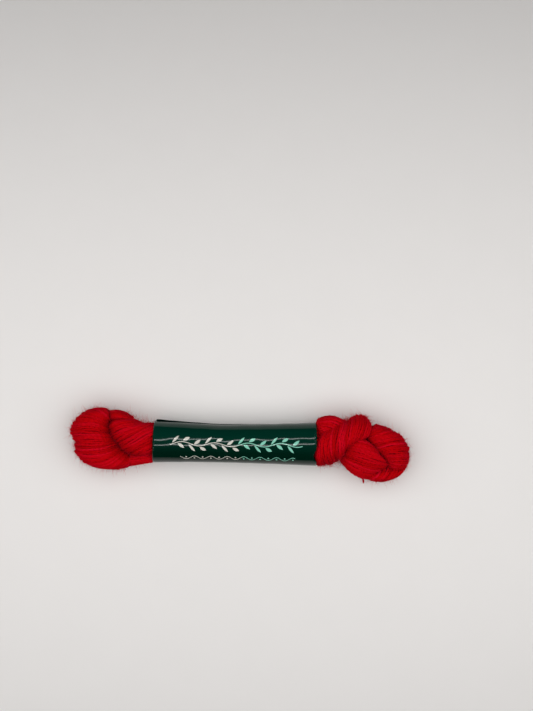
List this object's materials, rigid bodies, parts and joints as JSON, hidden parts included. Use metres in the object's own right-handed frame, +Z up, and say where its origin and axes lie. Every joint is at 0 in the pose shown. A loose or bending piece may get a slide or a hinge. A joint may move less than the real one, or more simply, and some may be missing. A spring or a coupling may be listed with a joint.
{
  "type": "skein of merino wool yarn in a paper band",
  "caption": "Small red wool skein, twisted into a rope and folded over at its ends, held by a rolled glossy green paper band.",
  "frame": {"origin": "middle of the whole skein's length and width, on the surface that it lies on", "axes": "+X along the skein towards its flared end, +Y across it towards the band's overlapping edge, +Z up from the surface"},
  "size_m": [0.1491, 0.0308, 0.019],
  "materials": {
    "yarn": "soft spun wool, deep red with slight shade changes along the strands, faint fuzz",
    "band_paper": "glossy coated paper, dark green, with a printed cream and mint leaf ornament"
  },
  "bodies": {
    "root": {"skein": "yarn", "band": "band_paper"}
  },
  "joints": []
}
